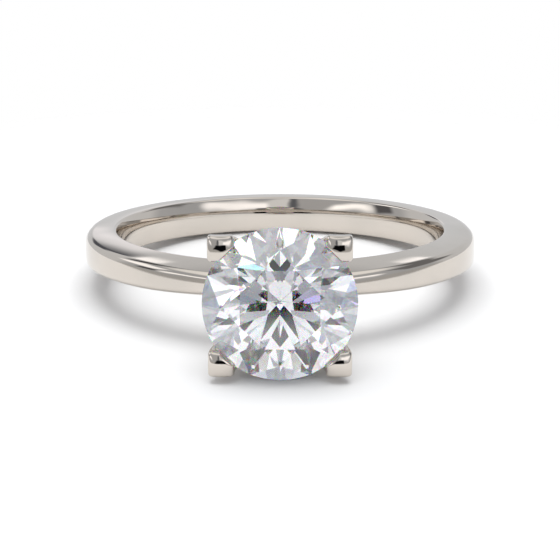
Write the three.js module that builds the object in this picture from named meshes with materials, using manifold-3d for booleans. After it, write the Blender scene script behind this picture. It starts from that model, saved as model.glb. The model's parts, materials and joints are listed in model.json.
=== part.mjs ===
// Engagement ring: a tapering band, a four-claw head on a square base, and a round brilliant.
// Lengths are millimetres. The band is drawn with the finger axis along Z and the stone towards -Y,
// the head with the stone's axis along +Z. The finished ring then lies down on the back of its band
// and the edge of its stone, on Z = 0.
import * as THREE from 'three';
import { ConvexGeometry } from 'three/addons/geometries/ConvexGeometry.js';
import { mergeVertices } from 'three/addons/utils/BufferGeometryUtils.js';
import Module from 'manifold-3d';

// Band
const fingerRadius = 8.45;          // at the edges of the hole
const comfortDepth = 0.19;          // corner of the domed inside, before it is rounded off
const comfortRadius = 3.1;
const bandRadius = 10.04;
const bandHalfWidth = 0.975;
const innerEdgeRadius = 0.15;
const backEdgeRadius = 0.6;         // soft outer edges round the back
const shoulderEdgeRadius = 0.3;     // crisper ones on the shoulders
const baseHalfAngle = 12.0;         // degrees either side of the stone taken up by the head's base
const shoulderStart = 95.0;         // degrees from the stone where the taper begins
const crispOver = 20.0;             // degrees over which the outer edges turn crisp
const bandSteps = 84;
const fingerSides = 90;             // the base's inside is faceted in step with the band's
const edgeSegments = 4;
// Half-width of the outer face on the shoulders: degrees from the stone, half-width
const shoulderTaper = [[0, 0.34], [22, 0.5], [40, 0.62], [62, 0.7], [80, 0.85], [95, 0.975]];

// Stone
const stoneRadius = 3.5;
const girdleHeight = 13.4;          // from the finger axis to the middle of the girdle
const girdleHalfThickness = 0.09;
const tableShare = 0.55;
const crownAngle = 34.5;
const pavilionAngle = 40.8;
const starShare = 0.5;
const lowerHalfShare = 0.78;
const culetRadius = 0.02;
const facetStep = 45.0;
const firstMain = 22.5;             // the mains stand between the claws' diagonals and the axes
const girdleSteps = 4;              // girdle points along each half facet

// Head
const baseTop = 10.05;
const baseHalfWidth = 1.45;
const baseFlareFrom = 9.25;
const baseFlareTo = 9.75;
const baseBevel = 0.08;
const baseEdgeRadius = 0.05;
const baseCurveSegments = 12;
const roomDepth = 1.5;              // how far the tool that shapes the base's inside reaches inwards
const roomHalfWidth = 1.2;
const clawNames = ['claw_upper_right', 'claw_upper_left', 'claw_lower_left', 'claw_lower_right'];
const clawFootOuter = 1.72;         // outer faces of the claws from the head's axis, at the foot
const clawTipOuter = 3.23;          // and at the tip
const clawFootWidth = 1.0;
const clawTipWidth = 1.18;
const clawShoulder = 13.55;         // where the splay ends and the tip stands straight
const clawTop = 14.15;
const clawEdgeRadius = 0.12;
const clawTipRadius = 0.22;
const clawTipShares = [0, 0.4, 0.7, 0.9, 1];
const leastCorner = 0.02;           // corner radius left at the very tip
const clawInnerCut = 0.66;          // leg of the cut corner that faces the stone
const seatGap = 0.03;               // between the stone and the metal that holds it
const jointGap = 0.015;             // solder seams
const cornerSegments = 2;
const railSides = 48;
const railInnerEdge = 0.06;
const railOuterEdge = 0.1;
const lowerRail = { bottom: 10.8, top: 11.3, outer: 2.12, wall: 0.42, flare: 0.2 };
const upperRail = { bottom: 12.0, top: 12.55, outer: 2.86, wall: 0.3, flare: 0.2 };

// Search for the resting tilt
const steepestTilt = 20.0;          // degrees
const tiltRounds = 40;

const palladium = { color: 0xd8d2c8, metalness: 1.0, roughness: 0.12 };
const brilliant = { color: 0xf2f5fa, metalness: 0.0, roughness: 0.02 };

const degrees = THREE.MathUtils.degToRad;
const wasm = await Module();
wasm.setup();

// A closed body through rings of points of equal count, with a flat cap at each end.
function loft(rings) {
  const count = rings[0].length;
  const positions = [];
  const index = [];
  rings.forEach((ring) => ring.forEach((point) => positions.push(point.x, point.y, point.z)));
  for (let row = 0; row < rings.length - 1; row += 1) {
    for (let i = 0; i < count; i += 1) {
      const a = row * count + i;
      const b = row * count + ((i + 1) % count);
      index.push(a, b, a + count, b, b + count, a + count);
    }
  }
  const last = (rings.length - 1) * count;
  for (let i = 1; i < count - 1; i += 1) {
    index.push(0, i + 1, i, last, last + i, last + i + 1);
  }
  const geometry = new THREE.BufferGeometry();
  geometry.setAttribute('position', new THREE.Float32BufferAttribute(positions, 3));
  geometry.setIndex(index);
  if (signedVolume(geometry) < 0) {
    index.reverse();
    geometry.setIndex(index);
  }
  return geometry;
}

function signedVolume(geometry) {
  const position = geometry.getAttribute('position');
  const index = geometry.getIndex();
  const corners = [new THREE.Vector3(), new THREE.Vector3(), new THREE.Vector3()];
  let sum = 0;
  for (let i = 0; i < index.count; i += 3) {
    corners.forEach((corner, k) => corner.fromBufferAttribute(position, index.getX(i + k)));
    sum += corners[0].dot(corners[1].clone().cross(corners[2])) / 6;
  }
  return sum;
}

// The outline of a convex polygon with every corner rounded to its own radius.
function roundedOutline(corners, segments) {
  const points = [];
  corners.forEach((corner, i) => {
    const here = new THREE.Vector2(corner.x, corner.y);
    const before = corners[(i + corners.length - 1) % corners.length];
    const after = corners[(i + 1) % corners.length];
    const toBefore = new THREE.Vector2(before.x, before.y).sub(here).normalize();
    const toAfter = new THREE.Vector2(after.x, after.y).sub(here).normalize();
    const halfAngle = Math.acos(THREE.MathUtils.clamp(toBefore.dot(toAfter), -1, 1)) / 2;
    const start = here.clone().addScaledVector(toBefore, corner.radius / Math.tan(halfAngle));
    const middle = toBefore.clone().add(toAfter).normalize();
    const centre = here.clone().addScaledVector(middle, corner.radius / Math.sin(halfAngle));
    const arm = start.clone().sub(centre);
    const turn = Math.sign(toAfter.cross(toBefore)) * (Math.PI - 2 * halfAngle);
    for (let step = 0; step <= segments; step += 1) {
      points.push(arm.clone().rotateAround(new THREE.Vector2(), (turn * step) / segments).add(centre));
    }
  });
  return points;
}

function toSolid(geometry) {
  const bare = geometry.clone();
  bare.deleteAttribute('normal');
  bare.deleteAttribute('uv');
  const merged = mergeVertices(bare, 1e-5);
  return new wasm.Manifold(new wasm.Mesh({
    numProp: 3,
    vertProperties: new Float32Array(merged.getAttribute('position').array),
    triVerts: new Uint32Array(merged.getIndex().array),
  }));
}

function toGeometry(solid) {
  const mesh = solid.getMesh();
  const geometry = new THREE.BufferGeometry();
  geometry.setAttribute('position', new THREE.BufferAttribute(mesh.vertProperties, 3));
  geometry.setIndex(new THREE.BufferAttribute(mesh.triVerts, 1));
  return geometry;
}

function namedMesh(name, geometry, finish) {
  const mesh = new THREE.Mesh(geometry, new THREE.MeshStandardMaterial(finish));
  mesh.name = name;
  return mesh;
}

// Band: one loft from shoulder to shoulder the long way round.
function taperAt(angle) {
  const points = shoulderTaper.map(([at, width]) => new THREE.Vector2(at, width));
  const next = points.findIndex((point) => point.x >= angle);
  if (next < 0) {
    return bandHalfWidth;
  }
  if (next === 0) {
    return points[0].y;
  }
  const share = (angle - points[next - 1].x) / (points[next].x - points[next - 1].x);
  return THREE.MathUtils.lerp(points[next - 1].y, points[next].y, share);
}

// The section, starting with its domed inside.
function sectionOutline(outer, edge) {
  return roundedOutline([
    { x: fingerRadius, y: bandHalfWidth, radius: innerEdgeRadius },
    { x: fingerRadius - comfortDepth, y: 0, radius: comfortRadius },
    { x: fingerRadius, y: -bandHalfWidth, radius: innerEdgeRadius },
    { x: bandRadius, y: -outer, radius: edge },
    { x: bandRadius, y: outer, radius: edge },
  ], edgeSegments);
}

function bandSection(angle) {
  const fromStone = Math.min(angle, 360 - angle);
  const crisp = THREE.MathUtils.smoothstep(shoulderStart - fromStone, 0, crispOver);
  const edge = THREE.MathUtils.lerp(backEdgeRadius, shoulderEdgeRadius, crisp);
  const turn = degrees(angle);
  return sectionOutline(taperAt(fromStone), edge).map(({ x: radius, y: height }) => (
    new THREE.Vector3(radius * Math.sin(turn), -radius * Math.cos(turn), height)));
}

function shankGeometry() {
  const rings = [];
  for (let step = 0; step <= bandSteps; step += 1) {
    rings.push(bandSection(baseHalfAngle + ((360 - 2 * baseHalfAngle) * step) / bandSteps));
  }
  return loft(rings);
}

// Stone: the hull of the facet corners of a 57-facet round brilliant, table up.
function polar(radius, angle, height) {
  const turn = degrees(angle);
  return new THREE.Vector3(radius * Math.cos(turn), radius * Math.sin(turn), height);
}

function stonePoints(grow = 0) {
  const radius = stoneRadius + grow;
  const girdleTop = girdleHeight + girdleHalfThickness + grow;
  const girdleFoot = girdleHeight - girdleHalfThickness - grow;
  const halfStep = Math.cos(degrees(facetStep / 2));
  const crownRise = Math.tan(degrees(crownAngle));
  const pavilionFall = Math.tan(degrees(pavilionAngle));
  const tableRadius = tableShare * radius;
  const tableEdge = tableRadius * halfStep;
  const starRadius = tableEdge + starShare * (radius - tableEdge);
  const lowerRadius = radius * (1 - lowerHalfShare);
  const points = [];
  for (let main = firstMain; main < 360; main += facetStep) {
    const between = main + facetStep / 2;
    points.push(polar(tableRadius, main, girdleTop + (radius - tableRadius) * crownRise));
    points.push(polar(culetRadius, main, girdleFoot - (radius - culetRadius) * pavilionFall));
    const star = polar(starRadius, between, girdleTop + (radius - starRadius * halfStep) * crownRise);
    const lower = polar(lowerRadius, between,
      girdleFoot - (radius - lowerRadius * halfStep) * pavilionFall);
    points.push(star, lower);
    [[main, between], [between, main + facetStep]].forEach(([from, to]) => {
      points.push(...girdleArc(star, from, to, radius, girdleTop));
      points.push(...girdleArc(lower, from, to, radius, girdleFoot));
    });
  }
  return points;
}

// Where the plane through a facet's inner corner and two girdle corners meets the round girdle.
function girdleArc(inner, from, to, radius, height) {
  const plane = new THREE.Plane().setFromCoplanarPoints(
    inner, polar(radius, from, height), polar(radius, to, height));
  const points = [];
  for (let step = 0; step < girdleSteps; step += 1) {
    const at = polar(radius, from + ((to - from) * step) / girdleSteps, 0);
    at.z = -(plane.constant + plane.normal.x * at.x + plane.normal.y * at.y) / plane.normal.z;
    points.push(at);
  }
  return points;
}

// Head, with its axis along +Z
function railGeometry(rail) {
  const { bottom, top, outer, wall, flare } = rail;
  const profile = roundedOutline([
    { x: outer - wall, y: bottom, radius: railInnerEdge },
    { x: outer, y: bottom, radius: railOuterEdge },
    { x: outer + flare, y: top, radius: railOuterEdge },
    { x: outer + flare - wall, y: top, radius: railInnerEdge },
  ], cornerSegments);
  profile.push(profile[0].clone());
  return new THREE.LatheGeometry(profile, railSides).rotateX(Math.PI / 2);
}

function clawSection(height) {
  const climb = THREE.MathUtils.clamp((height - baseTop) / (clawShoulder - baseTop), 0, 1);
  const rounded = Math.max(0, height - (clawTop - clawTipRadius)) / clawTipRadius;
  const inset = clawTipRadius * (1 - Math.sqrt(1 - Math.min(rounded, 1) ** 2));
  const outer = THREE.MathUtils.lerp(clawFootOuter, clawTipOuter, climb) - inset;
  const width = THREE.MathUtils.lerp(clawFootWidth, clawTipWidth, climb) - 2 * inset;
  const cut = clawInnerCut - inset * (2 - Math.SQRT2);
  const inner = outer - width;
  const corners = [
    [outer, outer],
    [inner, outer],
    [inner, inner + cut],
    [inner + cut, inner],
    [outer, inner],
  ];
  const radius = THREE.MathUtils.lerp(clawEdgeRadius, leastCorner, inset / clawTipRadius);
  return roundedOutline(corners.map(([x, y]) => ({ x, y, radius })), cornerSegments)
    .map((point) => new THREE.Vector3(point.x, point.y, height));
}

function clawSolid(stoneRoom, railRooms) {
  const tipStart = clawTop - clawTipRadius;
  const heights = [baseTop + jointGap, clawShoulder];
  clawTipShares.forEach((share) => heights.push(tipStart + share * clawTipRadius));
  const bar = toSolid(loft(heights.map(clawSection)));
  return railRooms.reduce((solid, room) => solid.subtract(room), bar.subtract(stoneRoom));
}

// The finger hole's domed surface, as a ring to be taken out of the base.
function fingerRoom() {
  const domed = 3 * (edgeSegments + 1);
  const inside = sectionOutline(bandHalfWidth, shoulderEdgeRadius).slice(0, domed).reverse();
  const depth = fingerRadius - roomDepth;
  const profile = [
    new THREE.Vector2(depth, -roomHalfWidth),
    new THREE.Vector2(inside[0].x, -roomHalfWidth),
    ...inside,
    new THREE.Vector2(inside[0].x, roomHalfWidth),
    new THREE.Vector2(depth, roomHalfWidth),
    new THREE.Vector2(depth, -roomHalfWidth),
  ];
  return toSolid(new THREE.LatheGeometry(profile, fingerSides));
}

function baseGeometry() {
  const half = degrees(baseHalfAngle) - jointGap / bandRadius;
  const deepest = fingerRadius - comfortDepth;
  const wedge = new THREE.Shape();
  wedge.absarc(0, 0, deepest, Math.PI / 2 - half, Math.PI / 2 + half, false);
  wedge.lineTo(-bandRadius * Math.sin(half), bandRadius * Math.cos(half));
  wedge.lineTo(-bandRadius * Math.sin(half) + baseBevel, baseTop);
  wedge.lineTo(bandRadius * Math.sin(half) - baseBevel, baseTop);
  wedge.lineTo(bandRadius * Math.sin(half), bandRadius * Math.cos(half));
  const side = new THREE.ExtrudeGeometry(wedge, {
    depth: 2 * baseHalfWidth, bevelEnabled: false, curveSegments: baseCurveSegments,
  });
  side.translate(0, 0, -baseHalfWidth).rotateX(Math.PI / 2);
  const flare = new THREE.Shape(roundedOutline([
    { x: -bandHalfWidth, y: fingerRadius - roomDepth, radius: baseEdgeRadius },
    { x: bandHalfWidth, y: fingerRadius - roomDepth, radius: baseEdgeRadius },
    { x: bandHalfWidth, y: baseFlareFrom, radius: baseEdgeRadius },
    { x: baseHalfWidth, y: baseFlareTo, radius: baseEdgeRadius },
    { x: baseHalfWidth, y: baseTop, radius: baseBevel },
    { x: -baseHalfWidth, y: baseTop, radius: baseBevel },
    { x: -baseHalfWidth, y: baseFlareTo, radius: baseEdgeRadius },
    { x: -bandHalfWidth, y: baseFlareFrom, radius: baseEdgeRadius },
  ], cornerSegments));
  const front = new THREE.ExtrudeGeometry(flare, { depth: 2 * bandRadius, bevelEnabled: false });
  front.translate(0, 0, -bandRadius).rotateX(Math.PI / 2).rotateZ(Math.PI / 2);
  return toGeometry(toSolid(side).intersect(toSolid(front)).subtract(fingerRoom()));
}

// The stone and the rails, each a little larger, are cut out of the claws that hold them.
function headPieces() {
  const stoneRoom = toSolid(new ConvexGeometry(stonePoints(seatGap)));
  const rails = { lower_rail: lowerRail, upper_rail: upperRail };
  const railRooms = Object.values(rails).map((rail) => toSolid(railGeometry(grown(rail, jointGap))));
  const claw = toGeometry(clawSolid(stoneRoom, railRooms));
  const pieces = [namedMesh('head_base', baseGeometry(), palladium)];
  Object.entries(rails).forEach(([name, rail]) => {
    const ring = toSolid(railGeometry(rail)).subtract(stoneRoom);
    pieces.push(namedMesh(name, toGeometry(ring), palladium));
  });
  clawNames.forEach((name, i) => {
    const piece = namedMesh(name, claw, palladium);
    piece.rotation.z = (2 * Math.PI * i) / clawNames.length;
    pieces.push(piece);
  });
  pieces.push(namedMesh('diamond', new ConvexGeometry(stonePoints()), brilliant));
  return pieces;
}

function grown(rail, gap) {
  return {
    bottom: rail.bottom - gap,
    top: rail.top + gap,
    outer: rail.outer + gap,
    wall: rail.wall + 2 * gap,
    flare: rail.flare,
  };
}

function ringGroup() {
  const ring = new THREE.Group();
  const head = new THREE.Group();
  head.rotation.x = Math.PI / 2;
  head.add(...headPieces());
  ring.add(namedMesh('shank', shankGeometry(), palladium), head);
  return ring;
}

// How far down some of the ring's points reach at a given tilt.
function lowest(points, tilt) {
  return Math.min(...points.map((point) => point.y * Math.sin(tilt) + point.z * Math.cos(tilt)));
}

function worldPoints(group, keep) {
  const points = [];
  group.updateMatrixWorld(true);
  group.traverse((piece) => {
    if (piece.isMesh && keep(piece.name)) {
      const position = piece.geometry.getAttribute('position');
      for (let i = 0; i < position.count; i += 1) {
        points.push(new THREE.Vector3().fromBufferAttribute(position, i).applyMatrix4(piece.matrixWorld));
      }
    }
  });
  return points;
}

// Laid down on the back of the band and the stone's girdle, centred over the origin.
function restingRing() {
  const ring = ringGroup();
  const band = worldPoints(ring, (name) => name === 'shank').filter((point) => point.y > 0);
  const head = worldPoints(ring, (name) => name !== 'shank');
  let flat = 0;
  let steep = degrees(-steepestTilt);
  for (let round = 0; round < tiltRounds; round += 1) {
    const tilt = (flat + steep) / 2;
    if (lowest(head, tilt) < lowest(band, tilt)) {
      flat = tilt;
    } else {
      steep = tilt;
    }
  }
  ring.rotation.x = steep;
  const box = new THREE.Box3().setFromPoints(worldPoints(ring, () => true));
  const centre = box.getCenter(new THREE.Vector3());
  ring.position.set(-centre.x, -centre.y, -box.min.z);
  const part = new THREE.Group();
  part.add(ring);
  return part;
}

export default restingRing();
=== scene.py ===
# Engagement ring lying on a white table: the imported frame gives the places, this file gives the looks
import json
import math

import bmesh
import bpy
from mathutils import Matrix, Vector


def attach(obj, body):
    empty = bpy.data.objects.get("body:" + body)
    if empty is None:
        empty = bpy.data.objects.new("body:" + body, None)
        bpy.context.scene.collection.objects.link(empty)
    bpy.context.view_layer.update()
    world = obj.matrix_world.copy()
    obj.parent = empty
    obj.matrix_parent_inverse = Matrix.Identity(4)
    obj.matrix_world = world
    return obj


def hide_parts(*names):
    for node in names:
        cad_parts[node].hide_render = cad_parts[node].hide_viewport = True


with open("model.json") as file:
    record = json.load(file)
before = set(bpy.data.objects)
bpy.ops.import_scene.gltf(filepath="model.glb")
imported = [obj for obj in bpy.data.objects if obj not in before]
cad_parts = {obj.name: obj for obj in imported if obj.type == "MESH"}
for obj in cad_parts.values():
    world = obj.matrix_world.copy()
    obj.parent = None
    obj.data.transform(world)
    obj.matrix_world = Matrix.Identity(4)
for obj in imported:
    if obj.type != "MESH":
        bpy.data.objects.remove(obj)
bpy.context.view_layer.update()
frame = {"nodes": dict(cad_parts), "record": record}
print("stage: frame loaded")

# Stone: girdle across 7 mm, heights measured from the finger axis
stone = {
    "radius": 3.5,
    "girdleHeight": 13.4,
    "girdleHalfThickness": 0.09,
    "tableShare": 0.55,
    "crownAngle": 34.5,
    "pavilionAngle": 40.8,
    "starShare": 0.5,
    "lowerHalfShare": 0.78,
    "culetRadius": 0.02,
    "mains": 8,
    "firstMain": 22.5,
    "girdleSteps": 12,
}


def tableHeight():
    crown = (1 - stone["tableShare"]) * stone["radius"] * math.tan(math.radians(stone["crownAngle"]))
    return stone["girdleHeight"] + stone["girdleHalfThickness"] + crown


# The ring's own axes: X across, Y along the finger, Z towards the stone. Pieces are drawn in mm on
# them, and `place` sets them down in the frame.
mm = 0.001
mounts = {mount["name"]: mount for mount in frame["record"]["mounts"]}
fingerAxis = Vector(mounts["band_side"]["axis"]).normalized()
headAxis = Vector(mounts["stone_table"]["axis"]).normalized()
acrossAxis = fingerAxis.cross(headAxis)
ringCentre = Vector(mounts["stone_table"]["pos_m"]) - headAxis * tableHeight() * mm
place = Matrix.Translation(ringCentre) @ Matrix((acrossAxis, fingerAxis, headAxis)).transposed().to_4x4()
place = place @ Matrix.Diagonal((mm, mm, mm, 1))


class Wire:
    def __init__(self, owner, socket):
        self.owner = owner
        self.socket = socket

    def out(self, name):
        return Wire(self.owner, self.socket.node.outputs[name])

    def maths(self, operation, *values):
        return self.owner.node("ShaderNodeMath", {"operation": operation}, dict(enumerate(values)))

    def __add__(self, other):
        return self.maths("ADD", self, other)

    def __radd__(self, other):
        return self.maths("ADD", other, self)

    def __sub__(self, other):
        return self.maths("SUBTRACT", self, other)

    def __rsub__(self, other):
        return self.maths("SUBTRACT", other, self)

    def __mul__(self, other):
        return self.maths("MULTIPLY", self, other)

    def __rmul__(self, other):
        return self.maths("MULTIPLY", other, self)

    def __truediv__(self, other):
        return self.maths("DIVIDE", self, other)

    def __rtruediv__(self, other):
        return self.maths("DIVIDE", other, self)

    def __pow__(self, other):
        return self.maths("POWER", self, other)

    def __neg__(self):
        return self.maths("MULTIPLY", self, -1.0)

    def __abs__(self):
        return self.maths("ABSOLUTE", self)

    def __lt__(self, other):
        return self.maths("LESS_THAN", self, other)

    def __gt__(self, other):
        return self.maths("GREATER_THAN", self, other)

    def sine(self):
        return self.maths("SINE", self)

    def cosine(self):
        return self.maths("COSINE", self)

    def blend(self, low, high):
        return low + self * (high - low)

    def smooth(self, low, high, fromValue=0.0, toValue=1.0):
        ranges = {"From Min": low, "From Max": high, "To Min": fromValue, "To Max": toValue}
        return self.owner.node("ShaderNodeMapRange", {"interpolation_type": "SMOOTHSTEP"},
                               {"Value": self, **ranges})


class Tree:
    def __init__(self, tree):
        self.tree = tree

    def node(self, kind, settings=None, values=None):
        made = self.tree.nodes.new(kind)
        for name, value in (settings or {}).items():
            if name == "points":
                points = made.mapping.curves[0].points
                while len(points) < len(value):
                    points.new(0.5, 0.5)
                for point, location in zip(points, value):
                    point.location = location
                made.mapping.update()
            else:
                setattr(made, name, value)
        for key, value in (values or {}).items():
            if isinstance(value, Wire):
                self.tree.links.new(value.socket, made.inputs[key])
            else:
                made.inputs[key].default_value = value
        return Wire(self, made.outputs[0] if made.outputs else None)

    def mixColours(self, share, low, high):
        low, high = [colour if isinstance(colour, Wire) else (*colour, 1.0) for colour in (low, high)]
        made = self.node("ShaderNodeMix", {"data_type": "RGBA"}, {"Factor": share, "A": low, "B": high})
        return Wire(self, made.socket.node.outputs[2])


def geometryTree(name, inputs):
    made = bpy.data.node_groups.new(name, "GeometryNodeTree")
    made.interface.new_socket("Geometry", in_out="OUTPUT", socket_type="NodeSocketGeometry")
    for label, kind in inputs.items():
        made.interface.new_socket(label, in_out="INPUT", socket_type="NodeSocket" + kind)
    tree = Tree(made)
    return tree, tree.node("NodeGroupInput")


# Runs a tree on an empty host and gives back a plain mesh in mm on the ring's axes
def growMesh(name, tree, values):
    host = bpy.data.objects.new(name + "Host", bpy.data.meshes.new(name + "Host"))
    bpy.context.collection.objects.link(host)
    modifier = host.modifiers.new(name, "NODES")
    modifier.node_group = tree.tree
    for item in tree.tree.interface.items_tree:
        if item.in_out == "INPUT" and item.name in values:
            modifier[item.identifier] = values[item.name]
    grown = evaluated(host)
    grown.name = name
    host.modifiers.clear()
    bpy.data.objects.remove(host)
    return grown


def evaluated(source):
    bpy.context.view_layer.update()
    graph = bpy.context.evaluated_depsgraph_get()
    return bpy.data.meshes.new_from_object(source.evaluated_get(graph), depsgraph=graph)


def addPiece(name, mesh, material, slot, *nodes):
    mesh.name = name
    mesh.transform(place)
    mesh.materials.clear()
    mesh.materials.append(material)
    piece = bpy.data.objects.new(name, mesh)
    bpy.context.collection.objects.link(piece)
    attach(piece, "root")
    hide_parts(*nodes)
    return piece


# Finishes

def newMaterial(name):
    material = bpy.data.materials.new(name)
    material.use_nodes = True
    material.node_tree.nodes.clear()
    return material, Tree(material.node_tree)


gold = {
    "colour": (0.66, 0.605, 0.545),
    "worn": (0.62, 0.572, 0.515),
    "roughness": (0.035, 0.075),
    "wornOver": (0.42, 0.68),  # cloud noise where the wear starts, and where it is full
    "cloudScale": 260.0,
    "hairScale": 5200.0,
    "hairStrength": 0.35,
    "hairDepth": 0.0000006,
}


def whiteGold():
    material, tree = newMaterial("palladiumWhiteGold")
    where = tree.node("ShaderNodeTexCoord").out("Object")
    cloud = tree.node("ShaderNodeTexNoise", {}, {"Vector": where, "Scale": gold["cloudScale"], "Detail": 3.0})
    hairs = tree.node("ShaderNodeTexNoise", {}, {"Vector": where, "Scale": gold["hairScale"], "Detail": 2.0})
    wear = cloud.smooth(*gold["wornOver"])
    bump = tree.node("ShaderNodeBump", {}, {
        "Height": hairs, "Strength": gold["hairStrength"], "Distance": gold["hairDepth"]})
    low, high = gold["roughness"]
    shader = tree.node("ShaderNodeBsdfPrincipled", {}, {
        "Base Color": tree.mixColours(wear, gold["colour"], gold["worn"]), "Metallic": 1.0,
        "Roughness": wear * (high - low) + low, "Normal": bump})
    tree.node("ShaderNodeOutputMaterial", {}, {"Surface": shader})
    return material


# Refractive index: one for each colour on the way in, and one for light already inside the stone
refraction = {"red": 2.412, "green": 2.42, "blue": 2.434, "inside": 2.42}


def diamondGlass():
    material, tree = newMaterial("brilliantStone")

    def glass(colour, index):
        return tree.node("ShaderNodeBsdfGlass", {}, {"Color": (*colour, 1.0), "Roughness": 0.0, "IOR": index})

    split = tree.node("ShaderNodeAddShader", {}, {
        0: glass((1, 0, 0), refraction["red"]), 1: glass((0, 1, 0), refraction["green"])})
    split = tree.node("ShaderNodeAddShader", {}, {0: split, 1: glass((0, 0, 1), refraction["blue"])})
    inside = tree.node("ShaderNodeNewGeometry").out("Backfacing")
    shader = tree.node("ShaderNodeMixShader", {}, {
        0: inside, 1: split, 2: glass((1, 1, 1), refraction["inside"])})
    tree.node("ShaderNodeOutputMaterial", {}, {"Surface": shader})
    return material


goldFinish = whiteGold()
stoneFinish = diamondGlass()
print("stage: finishes made")

# Shank: one section carried round the finger, tapering to the shoulders. Sizes are in mm, crowns in radians
# and angles in degrees from the stone.
shank = {
    "Finger Radius": 8.45,
    "Band Radius": 10.04,
    "Half Width": 0.975,
    "Inner Edge": 0.15,
    "Back Edge": 0.6,
    "Shoulder Edge": 0.38,
    "Outer Crown": 0.1,
    "Side Crown": 0.05,
    "Inner Crown": 0.33,
    "Start Angle": 12.0,
    "Crisp Edges From": 75.0,
    "Soft Edges From": 95.0,
    "Steps Round": 420,
    "Steps Section": 161,
}
# Half-width of the outer face: degrees from the stone, mm
shoulderTaper = [(0.0, 0.34), (22.0, 0.5), (40.0, 0.62), (62.0, 0.7), (80.0, 0.85), (95.0, 0.975),
                 (180.0, 0.975)]
mergeDistance = 0.0005


def shankTree():
    kinds = {label: "Int" if label.startswith("Steps") else "Float" for label in shank}
    tree, given = geometryTree("shankTree", {**kinds, "Metal": "Material"})
    finger, band = given.out("Finger Radius"), given.out("Band Radius")
    grid = tree.node("GeometryNodeMeshGrid", {}, {
        "Size X": 1.0, "Size Y": 1.0,
        "Vertices X": given.out("Steps Round"), "Vertices Y": given.out("Steps Section")})
    spot = tree.node("ShaderNodeSeparateXYZ", {}, {0: tree.node("GeometryNodeInputPosition")})
    along, around = spot.out("X") + 0.5, spot.out("Y") + 0.5

    # Degrees from the stone; the first and last rows close the ends
    row = 1.0 / (given.out("Steps Round") - 1)
    walked = (along - row) / (1.0 - 2.0 * row)
    share = walked.maths("MINIMUM", walked.maths("MAXIMUM", walked, 0.0), 1.0)
    start = given.out("Start Angle")
    angle = share.blend(start, 360.0 - start)
    fromStone = angle.maths("MINIMUM", angle, 360.0 - angle)
    points = [(at / 180.0, width) for at, width in shoulderTaper]
    taper = tree.node("ShaderNodeFloatCurve", {"points": points}, {"Value": fromStone / 180.0})
    outer = taper.maths("MINIMUM", taper, given.out("Half Width"))
    crisp = fromStone.smooth(given.out("Soft Edges From"), given.out("Crisp Edges From"))
    edge = crisp.blend(given.out("Back Edge"), given.out("Shoulder Edge"))
    inner = given.out("Inner Edge")

    # Slope of the side faces, and where the four edge arcs are centred
    lean = (given.out("Half Width") - outer).maths(
        "ARCTAN2", given.out("Half Width") - outer, band - finger)
    innerCentre = given.out("Half Width") - inner * (1.0 + lean.sine()) / lean.cosine()
    outerCentre = outer - edge * (1.0 - lean.sine()) / lean.cosine()
    quarter = math.pi / 2 - lean

    def corner(number):
        isOuter = abs(number - 1.5) < 1.0
        up = (abs(number - 2.5) > 1.0) * 2.0 - 1.0
        return (isOuter.blend(inner, edge), isOuter.blend(finger + inner, band - edge),
                up * isOuter.blend(innerCentre, outerCentre))

    def heading(number):
        turn = number - 2.0
        sign = turn.maths("SIGN", turn)
        return -sign * (abs(turn) > 1.5).blend(quarter, math.pi)

    def onArc(number, facing):
        radius, outwards, up = corner(number)
        return outwards + radius * facing.cosine(), up + radius * facing.sine()

    # How far each face curves: 0 and 2 are the sides, 1 is the outer face, 3 the domed inside
    def crownOf(face):
        outerFace = (abs(face - 1.0) < 0.5).blend(given.out("Side Crown"), given.out("Outer Crown"))
        return (abs(face - 1.0) > 1.5).blend(outerFace, given.out("Inner Crown"))

    step = around * 3.99999  # just under 4, so that the last point stays on face 3
    number = step.maths("FLOOR", step)
    within = (step - number) * 2.0
    arc = within.maths("MINIMUM", within, 1.0)
    flat = within.maths("MAXIMUM", within - 1.0, 0.0)
    crown = crownOf(number)
    facing = arc.blend(heading(number) - crownOf(number - 1.0), heading(number + 1.0) + crown)
    arcOut, arcUp = onArc(number, facing)
    # Between arcs a gently crowned face: a cubic that leaves and meets the arcs on their tangents
    leave, meet = heading(number + 1.0) + crown, heading(number + 1.0) - crown
    fromOut, fromUp = onArc(number, leave)
    toOut, toUp = onArc(number + 1.0, meet)
    length = ((toOut - fromOut) ** 2.0 + (toUp - fromUp) ** 2.0) ** 0.5
    square, cube = flat * flat, flat * flat * flat
    h01 = 3.0 * square - 2.0 * cube
    h10, h11 = cube - 2.0 * square + flat, cube - square
    flatOut = fromOut + h01 * (toOut - fromOut) + length * (h10 * leave.sine() + h11 * meet.sine())
    flatUp = fromUp + h01 * (toUp - fromUp) - length * (h10 * leave.cosine() + h11 * meet.cosine())
    onFlat = within > 1.0
    outwards, up = onFlat.blend(arcOut, flatOut), onFlat.blend(arcUp, flatUp)

    # The end rows shrink to the middle of the section
    closed = abs(along - 0.5) > (0.5 - 0.5 * row)
    outwards = closed.blend(outwards, (finger + band) * 0.5)
    up = closed.blend(up, 0.0)
    turn = angle * (math.pi / 180.0)
    position = tree.node("ShaderNodeCombineXYZ", {}, {
        "X": outwards * turn.sine(), "Y": up, "Z": outwards * turn.cosine()})
    shaped = tree.node("GeometryNodeSetPosition", {}, {"Geometry": grid, "Position": position})
    merged = tree.node("GeometryNodeMergeByDistance", {}, {"Geometry": shaped, "Distance": mergeDistance})
    real = tree.node("GeometryNodeRealizeInstances", {}, {"Geometry": merged})
    coated = tree.node("GeometryNodeSetMaterial", {}, {"Geometry": real, "Material": given.out("Metal")})
    tree.node("NodeGroupOutput", {}, {"Geometry": coated})
    return tree


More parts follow.
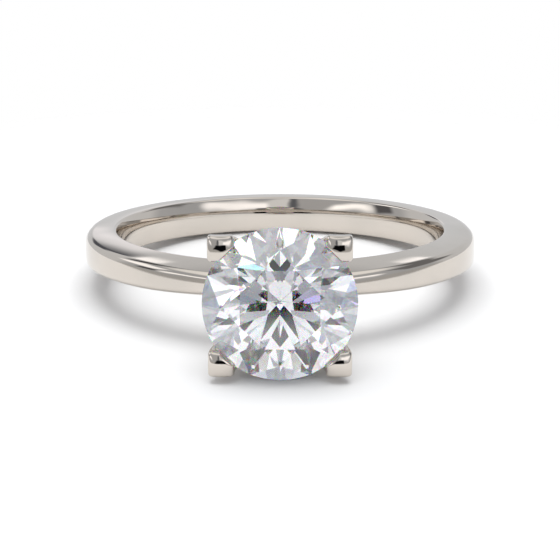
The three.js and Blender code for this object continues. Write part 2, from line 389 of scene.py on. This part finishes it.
# Normals outwards, smooth over everything but corners sharper than the given degrees
def tidyNormals(mesh, sharpFrom):
    work = bmesh.new()
    work.from_mesh(mesh)
    bmesh.ops.remove_doubles(work, verts=work.verts, dist=mergeDistance)
    bmesh.ops.dissolve_degenerate(work, edges=work.edges, dist=mergeDistance / 10)
    bmesh.ops.recalc_face_normals(work, faces=work.faces)
    work.to_mesh(mesh)
    work.free()
    mesh.shade_smooth()
    mesh.set_sharp_from_angle(angle=math.radians(sharpFrom))


shankMesh = growMesh("shankSurface", shankTree(), {**shank, "Metal": goldFinish})
tidyNormals(shankMesh, sharpFrom=40)
addPiece("bandShank", shankMesh, goldFinish, "white_metal", "shank")
print("stage: shank", len(shankMesh.polygons), "faces")


# Stone

def polar(radius, angle, height):
    turn = math.radians(angle)
    return Vector((radius * math.cos(turn), radius * math.sin(turn), height))


# Where the plane of a facet meets the round girdle
def girdleArc(inner, start, end, radius, height, steps):
    normal = (polar(radius, start, height) - inner).cross(polar(radius, end, height) - inner)
    points = []
    for step in range(steps):
        at = polar(radius, start + (end - start) * step / steps, 0.0)
        at.z = inner.z - (normal.x * (at.x - inner.x) + normal.y * (at.y - inner.y)) / normal.z
        points.append(at)
    return points


def stonePoints(grow=0.0):
    radius = stone["radius"] + grow
    top = stone["girdleHeight"] + stone["girdleHalfThickness"] + grow
    foot = stone["girdleHeight"] - stone["girdleHalfThickness"] - grow
    spacing = 360.0 / stone["mains"]
    half = math.cos(math.radians(spacing / 2))
    rise = math.tan(math.radians(stone["crownAngle"]))
    fall = math.tan(math.radians(stone["pavilionAngle"]))
    tableRadius = stone["tableShare"] * radius
    starRadius = tableRadius * half + stone["starShare"] * (radius - tableRadius * half)
    lowerRadius = radius * (1 - stone["lowerHalfShare"])
    culet = stone["culetRadius"]
    points = []
    for number in range(stone["mains"]):
        main = stone["firstMain"] + number * spacing
        between = main + spacing / 2
        star = polar(starRadius, between, top + (radius - starRadius * half) * rise)
        lower = polar(lowerRadius, between, foot - (radius - lowerRadius * half) * fall)
        points += [star, lower]
        points.append(polar(tableRadius, main, top + (radius - tableRadius) * rise))
        points.append(polar(culet, main, foot - (radius - culet) * fall))
        for start, end in ((main, between), (between, main + spacing)):
            points += girdleArc(star, start, end, radius, top, stone["girdleSteps"])
            points += girdleArc(lower, start, end, radius, foot, stone["girdleSteps"])
    return points


def hullMesh(name, points):
    work = bmesh.new()
    for point in points:
        work.verts.new(point)
    made = bmesh.ops.convex_hull(work, input=work.verts)
    bmesh.ops.delete(work, geom=made["geom_interior"], context="VERTS")
    flatWithin = math.radians(0.05)
    bmesh.ops.dissolve_limit(work, angle_limit=flatWithin, verts=work.verts, edges=work.edges)
    bmesh.ops.recalc_face_normals(work, faces=work.faces)
    mesh = bpy.data.meshes.new(name)
    work.to_mesh(mesh)
    work.free()
    return mesh


addPiece("roundBrilliant", hullMesh("roundBrilliant", stonePoints()), stoneFinish, "stone", "diamond")
print("stage: stone")

# Head: rails, claws and base, the stone's axis along Z

head = {
    "baseTop": 10.05,
    "jointGap": 0.015,
    "seatGap": 0.03,
    "footOuter": 1.72,
    "tipOuter": 3.23,
    "footWidth": 1.0,
    "tipWidth": 1.18,
    "shoulder": 13.55,
    "top": 14.15,
    "innerCut": 0.66,
    "edge": 0.16,
    "domeRadius": 1.45,
    "round": 0.16,
    "roundPower": 9.0,
    "tipRings": 22,
    "wallRings": 16,
    "arcSteps": 8,
    "flatSteps": 6,
    "claws": 4,
    "sharpFrom": 32,
}
rails = {
    "lower_rail": {"bottom": 10.8, "top": 11.3, "outer": 2.12, "wall": 0.42, "flare": 0.2},
    "upper_rail": {"bottom": 12.0, "top": 12.55, "outer": 2.86, "wall": 0.3, "flare": 0.2},
}
railShape = {"sides": 144, "insideEdge": 0.06, "outsideEdge": 0.1}


# A convex outline with every corner rounded, walked the same way at every size
def roundedOutline(corners, arcSteps, flatSteps):
    count = len(corners)
    arcs = []
    for number, (spot, radius) in enumerate(corners):
        here = Vector(spot)
        before = (Vector(corners[number - 1][0]) - here).normalized()
        after = (Vector(corners[(number + 1) % count][0]) - here).normalized()
        half = before.angle(after) / 2
        middle = (before + after).normalized()
        centre = here + middle * radius / math.sin(half)
        arm = here + before * radius / math.tan(half) - centre
        sweep = math.pi - 2 * half
        side = 1 if after.x * before.y - after.y * before.x > 0 else -1
        arcs.append([centre + Matrix.Rotation(side * sweep * step / arcSteps, 2) @ arm
                     for step in range(arcSteps + 1)])
    points = []
    for number, arc in enumerate(arcs):
        points += arc
        after = arcs[(number + 1) % count][0]
        points += [arc[-1].lerp(after, step / flatSteps) for step in range(1, flatSteps)]
    return points


# Faces through rings of equal count; a ring of one point closes an end
def loft(name, rings, joined=False):
    work = bmesh.new()
    rows = [[work.verts.new(point) for point in ring] for ring in rings]
    pairs = list(zip(rows, rows[1:]))
    if joined:
        pairs.append((rows[-1], rows[0]))
    for low, high in pairs:
        count = max(len(low), len(high))
        for step in range(count):
            after = (step + 1) % count
            loop = list(dict.fromkeys((low[step % len(low)], low[after % len(low)],
                                       high[after % len(high)], high[step % len(high)])))
            if len(loop) > 2:
                work.faces.new(loop)
    for row in (rows[0], rows[-1]):
        if not joined and len(row) > 1:
            work.faces.new(row)
    bmesh.ops.recalc_face_normals(work, faces=work.faces)
    mesh = bpy.data.meshes.new(name)
    work.to_mesh(mesh)
    work.free()
    return mesh


def railMesh(name, rail, gap=0.0):
    bottom, top = rail["bottom"] - gap, rail["top"] + gap
    outer, wall, flare = rail["outer"] + gap, rail["wall"] + 2 * gap, rail["flare"]
    inside, outside = railShape["insideEdge"], railShape["outsideEdge"]
    profile = roundedOutline([
        ((outer - wall, bottom), inside),
        ((outer, bottom), outside),
        ((outer + flare, top), outside),
        ((outer + flare - wall, top), inside),
    ], head["arcSteps"], head["flatSteps"])
    rings = []
    for side in range(railShape["sides"]):
        turn = 2 * math.pi * side / railShape["sides"]
        rings.append([Vector((spot.x * math.cos(turn), spot.x * math.sin(turn), spot.y)) for spot in profile])
    return loft(name, rings, joined=True)


def looseObject(mesh):
    made = bpy.data.objects.new(mesh.name, mesh)
    bpy.context.collection.objects.link(made)
    return made


def cutBy(target, cutters):
    for cutter in cutters:
        modifier = target.modifiers.new("cut", "BOOLEAN")
        modifier.operation = "DIFFERENCE"
        modifier.solver = "EXACT"
        modifier.object = cutter
    result = evaluated(target)
    bpy.data.objects.remove(target)
    return result


def clawOutline(height):
    climb = min(1.0, max(0.0, (height - head["baseTop"]) / (head["shoulder"] - head["baseTop"])))
    outer = head["footOuter"] + climb * (head["tipOuter"] - head["footOuter"])
    inner = outer - head["footWidth"] - climb * (head["tipWidth"] - head["footWidth"])
    cut = head["innerCut"]
    corners = [(outer, outer), (inner, outer), (inner, inner + cut), (inner + cut, inner), (outer, inner)]
    return roundedOutline([(spot, head["edge"]) for spot in corners], head["arcSteps"], head["flatSteps"])


def clawMesh():
    foot = head["baseTop"] + head["jointGap"]
    rim = clawOutline(head["top"])
    middle = sum(rim, Vector((0, 0))) / len(rim)

    def tipHeight(spot, size):
        fall = (size * (spot - middle).length) ** 2 / (2 * head["domeRadius"])
        return head["top"] - fall - head["round"] * (1 - math.sqrt(1 - size ** head["roundPower"]))

    wallTops = [tipHeight(spot, 1.0) for spot in rim]
    rings = []
    for step in range(head["wallRings"] + 1):
        share = step / head["wallRings"]
        outline = clawOutline(foot + (min(wallTops) - foot) * share)
        rings.append([Vector((spot.x, spot.y, foot + (top - foot) * share))
                      for spot, top in zip(outline, wallTops)])
    for step in range(1, head["tipRings"]):
        size = math.cos(math.pi / 2 * step / head["tipRings"])
        rings.append([Vector((*middle.lerp(spot, size), tipHeight(spot, size))) for spot in rim])
    rings.append([Vector((*middle, head["top"]))])
    return loft("claw", rings)


def clawsTree():
    tree, given = geometryTree("clawsTree", {"Claw": "Object", "Claws": "Int", "Metal": "Material"})
    claw = tree.node("GeometryNodeObjectInfo", {"transform_space": "ORIGINAL"}, {"Object": given.out("Claw")})
    line = tree.node("GeometryNodeMeshLine", {}, {"Count": given.out("Claws"), "Offset": (0.0, 0.0, 0.0)})
    turn = tree.node("GeometryNodeInputIndex") * (2.0 * math.pi) / given.out("Claws")
    angles = tree.node("ShaderNodeCombineXYZ", {}, {"Z": turn})
    turns = tree.node("FunctionNodeEulerToRotation", {}, {0: angles})
    copies = tree.node("GeometryNodeInstanceOnPoints", {}, {
        "Points": line, "Instance": claw.out("Geometry"), "Rotation": turns})
    real = tree.node("GeometryNodeRealizeInstances", {}, {"Geometry": copies})
    coated = tree.node("GeometryNodeSetMaterial", {}, {"Geometry": real, "Material": given.out("Metal")})
    tree.node("NodeGroupOutput", {}, {"Geometry": coated})
    return tree


stoneRoom = looseObject(hullMesh("stoneRoom", stonePoints(head["seatGap"])))
railRooms = [looseObject(railMesh(name + "Room", rail, head["jointGap"])) for name, rail in rails.items()]
oneClaw = looseObject(cutBy(looseObject(clawMesh()), [stoneRoom] + railRooms))
clawsMesh = growMesh("fourClaws", clawsTree(), {"Claw": oneClaw, "Claws": head["claws"], "Metal": goldFinish})
tidyNormals(clawsMesh, head["sharpFrom"])
clawNodes = ["claw_upper_right", "claw_upper_left", "claw_lower_left", "claw_lower_right"]
addPiece("fourClaws", clawsMesh, goldFinish, "white_metal", *clawNodes)
for name, rail in rails.items():
    mesh = cutBy(looseObject(railMesh(name, rail)), [stoneRoom])
    tidyNormals(mesh, head["sharpFrom"])
    addPiece(name.replace("_rail", "Rail"), mesh, goldFinish, "white_metal", name)
for extra in [stoneRoom, oneClaw] + railRooms:
    bpy.data.objects.remove(extra)
print("stage: rails and claws", len(clawsMesh.polygons), "faces")

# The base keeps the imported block's shape, with its corners eased
base = {"ease": 0.05, "easeSteps": 3, "easeFrom": 30, "flatWithin": 0.5}


def easedBase():
    mesh = frame["nodes"]["head_base"].data.copy()
    mesh.transform(place.inverted())
    work = bmesh.new()
    work.from_mesh(mesh)
    bmesh.ops.remove_doubles(work, verts=work.verts, dist=mergeDistance)
    bmesh.ops.dissolve_limit(work, angle_limit=math.radians(base["flatWithin"]),
                             verts=work.verts, edges=work.edges)
    corners = [edge for edge in work.edges if edge.calc_face_angle(0) > math.radians(base["easeFrom"])]
    bmesh.ops.bevel(work, geom=corners, offset=base["ease"], segments=base["easeSteps"], profile=0.5,
                    affect="EDGES", clamp_overlap=True)
    work.to_mesh(mesh)
    work.free()
    return mesh


baseMesh = easedBase()
tidyNormals(baseMesh, head["sharpFrom"])
addPiece("headBase", baseMesh, goldFinish, "white_metal", "head_base")
print("stage: base")

# Table, light and camera, in metres where nothing else is said

floor = {
    "reach": 0.05,
    "fade": (0.029, 0.042),  # it thins out to nothing between these distances
    "colour": (0.885, 0.885, 0.885),
    "grainShade": 0.995,
    "grainScale": 900.0,
    "roughness": 0.9,
}


def paperWhite():
    material, tree = newMaterial("paperWhite")
    where = tree.node("ShaderNodeTexCoord").out("Object")
    grain = tree.node("ShaderNodeTexNoise", {}, {"Vector": where, "Scale": floor["grainScale"]})
    darker = [level * floor["grainShade"] for level in floor["colour"]]
    away = tree.node("ShaderNodeVectorMath", {"operation": "LENGTH"}, {0: where}).out("Value")
    near, far = floor["fade"]
    shader = tree.node("ShaderNodeBsdfPrincipled", {}, {
        "Base Color": tree.mixColours(grain, floor["colour"], darker), "Roughness": floor["roughness"],
        "Specular IOR Level": 0.0, "Alpha": away.smooth(far, near)})
    tree.node("ShaderNodeOutputMaterial", {}, {"Surface": shader})
    return material


def layFloor():
    reach = floor["reach"]
    mesh = bpy.data.meshes.new("table")
    mesh.from_pydata([(-reach, -reach, 0), (reach, -reach, 0), (reach, reach, 0), (-reach, reach, 0)],
                     [], [(0, 1, 2, 3)])
    mesh.materials.append(paperWhite())
    made = bpy.data.objects.new("table", mesh)
    bpy.context.collection.objects.link(made)
    made.visible_transmission = False  # the stone sees its own surroundings all round


page = (1.0, 1.0, 1.0)  # behind everything, as the camera sees it

# The room round the ring, one for the polished metal and one for the stone: walls, with cards of light and
# dark in front of them. A card is degrees right of the front, degrees up, half-width, half-height, softness
# and radiance, and lies over the cards before it. The ripple bends the cards in front, so that their
# reflections waver.
aroundMetal = {
    "walls": (0.5, 0.52, 0.55),
    "ripple": {"scale": 2.6, "side": 22.0, "height": 16.0},
    "cards": [
        (0.0, -22.0, 400.0, 22.0, 4.0, (0.5, 0.5, 0.5)),
        (0.0, 66.0, 400.0, 12.0, 6.0, (1.1, 1.1, 1.1)),
        (180.0, 14.0, 75.0, 28.0, 8.0, (0.72, 0.74, 0.77)),
        (-56.0, 15.0, 18.0, 7.0, 6.0, (1.65, 1.65, 1.68)),
        (36.0, 17.0, 24.0, 9.0, 6.0, (1.5, 1.5, 1.55)),
        (-24.0, 20.0, 10.0, 12.0, 4.0, (0.5, 0.51, 0.53)),
        (4.0, 20.0, 10.0, 12.0, 4.0, (0.85, 0.87, 0.9)),
        (-11.0, 20.0, 5.0, 12.0, 4.0, (0.14, 0.15, 0.17)),
        (-174.0, 13.0, 4.5, 6.0, 3.0, (1.05, 1.05, 1.1)),
        (-159.0, 18.0, 9.5, 5.0, 2.0, (0.1, 0.105, 0.125)),
        (-167.5, 27.5, 1.5, 3.5, 1.0, (1.5, 1.5, 1.55)),
        (-146.0, 42.0, 14.0, 7.0, 3.0, (0.1, 0.1, 0.11)),
        (-103.0, 35.0, 20.0, 9.0, 3.0, (1.5, 1.5, 1.55)),
        (-84.0, 14.0, 8.0, 8.0, 3.0, (0.12, 0.12, 0.13)),
        (167.0, 27.0, 1.5, 3.5, 1.0, (1.5, 1.5, 1.55)),
        (140.0, 42.0, 16.0, 8.0, 3.0, (0.2, 0.2, 0.21)),
        (104.0, 32.0, 24.0, 14.0, 4.0, (0.2, 0.2, 0.21)),
        (0.0, 0.0, 23.0, 9.0, 2.0, (0.004, 0.004, 0.005)),
    ],
}
aroundStone = {
    "walls": (0.42, 0.435, 0.47),
    "ripple": {"scale": 4.0, "side": 4.0, "height": 4.0},
    "cards": [
        (0.0, -26.0, 50.0, 12.0, 3.0, (1.1, 1.1, 1.14)),
        (6.0, 14.5, 26.0, 5.5, 2.0, (1.0, 1.02, 1.06)),
        (0.0, 60.0, 60.0, 5.0, 2.0, (0.45, 0.5, 0.6)),
        (-30.0, 45.0, 20.0, 8.0, 2.0, (0.34, 0.35, 0.4)),
        (-24.0, 29.0, 8.0, 5.0, 2.0, (0.34, 0.38, 0.46)),
        (10.0, 47.0, 13.0, 5.0, 2.0, (1.45, 1.45, 1.45)),
        (-17.0, 39.0, 3.0, 2.5, 1.0, (0.3, 0.31, 0.34)),
        (17.0, 39.0, 3.0, 2.5, 1.0, (0.12, 0.12, 0.13)),
        (20.5, 33.0, 3.0, 2.5, 1.0, (0.85, 0.86, 0.92)),
        (-20.5, 33.0, 3.0, 2.5, 1.0, (0.85, 0.86, 0.92)),
        (4.0, 33.0, 9.0, 5.0, 2.0, (1.45, 1.45, 1.47)),
        (46.0, 32.0, 14.0, 14.0, 3.0, (1.3, 1.3, 1.35)),
        (-50.0, 12.0, 12.0, 10.0, 3.0, (1.3, 1.3, 1.32)),
        (44.0, -2.0, 14.0, 6.0, 3.0, (1.2, 1.2, 1.22)),
        (34.0, -18.0, 10.0, 4.0, 2.0, (0.45, 0.45, 0.5)),
        (14.5, 28.0, 2.0, 4.0, 1.0, (1.3, 0.9, 0.7)),
        (19.5, 28.5, 2.5, 4.0, 1.5, (0.78, 0.7, 1.2)),
        (25.0, 28.0, 2.5, 4.0, 1.5, (0.6, 1.15, 1.25)),
        (0.0, -2.5, 22.0, 8.0, 2.0, (0.01, 0.01, 0.012)),
        (0.0, 4.0, 8.0, 5.5, 1.5, (0.01, 0.01, 0.012)),
    ],
}


def lightStudio():
    world = bpy.data.worlds.new("studio")
    bpy.context.scene.world = world
    world.use_nodes = True
    world.node_tree.nodes.clear()
    tree = Tree(world.node_tree)
    outwards = tree.node("ShaderNodeTexCoord").out("Generated")
    direction = tree.node("ShaderNodeSeparateXYZ", {}, {0: outwards})
    across, depth, up = direction.out("X"), direction.out("Y"), direction.out("Z")
    degree = 180.0 / math.pi

    def room(tones):
        ripple = tones["ripple"]
        noise = tree.node("ShaderNodeTexNoise", {}, {
            "Vector": outwards, "Scale": ripple["scale"], "Detail": 0.0})
        wave = tree.node("ShaderNodeSeparateXYZ", {}, {0: noise.out("Color")})
        strength = depth.smooth(0.0, -0.6)  # none behind the ring, full well in front
        side = across.maths("ARCTAN2", across, -depth) * degree
        side = side + strength * (wave.out("X") - 0.5) * ripple["side"]
        height = up.maths("ARCSINE", up) * degree + strength * (wave.out("Y") - 0.5) * ripple["height"]
        sky = tones["walls"]
        for atSide, atHeight, halfWidth, halfHeight, soft, colour in tones["cards"]:
            apart = abs(side.maths("WRAP", side - atSide, 180.0, -180.0))
            share = apart.smooth(halfWidth + soft, halfWidth - soft)
            share = share * abs(height - atHeight).smooth(halfHeight + soft, halfHeight - soft)
            sky = tree.mixColours(share, sky, colour)
        return sky

    light = tree.node("ShaderNodeLightPath")
    sky = tree.mixColours(light.out("Is Transmission Ray"), room(aroundMetal), room(aroundStone))
    sky = tree.mixColours(light.out("Is Camera Ray"), sky, page)
    glow = tree.node("ShaderNodeBackground", {}, {"Color": sky, "Strength": 1.0})
    tree.node("ShaderNodeOutputWorld", {}, {"Surface": glow})


# Lights the table from overhead and throws the shadow, and isn't mirrored in the ring
softbox = {"height": 0.12, "size": 0.1, "watts": 0.09}


def hangSoftbox():
    data = bpy.data.lights.new("softbox", "AREA")
    data.size = softbox["size"]
    data.energy = softbox["watts"]
    made = bpy.data.objects.new("softbox", data)
    made.location = (0.0, 0.0, softbox["height"])
    made.visible_glossy = False
    made.visible_transmission = False
    bpy.context.collection.objects.link(made)


# Distance in mm; the camera stands `lift` degrees up from the head's axis and looks down `dip` degrees more
camera = {"distance": 93.6, "lift": 11.6, "dip": 1.14, "lens": 115.7, "sensor": 36.0,
          "clip": (0.001, 10.0)}


def placeCamera():
    lift, pitch = math.radians(camera["lift"]), math.radians(camera["lift"] + camera["dip"])
    data = bpy.data.cameras.new("camera")
    data.lens = camera["lens"]
    data.sensor_width = camera["sensor"]
    data.clip_start, data.clip_end = camera["clip"]
    made = bpy.data.objects.new("camera", data)
    bpy.context.collection.objects.link(made)
    back = headAxis * math.cos(pitch) + fingerAxis * math.sin(pitch)
    up = fingerAxis * math.cos(pitch) - headAxis * math.sin(pitch)
    spot = ringCentre + (headAxis * math.cos(lift) + fingerAxis * math.sin(lift)) * camera["distance"] * mm
    made.matrix_world = Matrix.Translation(spot) @ Matrix((acrossAxis, up, back)).transposed().to_4x4()
    bpy.context.scene.camera = made


layFloor()
lightStudio()
hangSoftbox()
placeCamera()
scene = bpy.context.scene
scene.view_settings.view_transform = "Standard"
scene.cycles.max_bounces = 24  # light crosses the stone many times before it leaves
scene.cycles.transmission_bounces = 24
scene.cycles.glossy_bounces = 16
print("stage: table, light and camera")
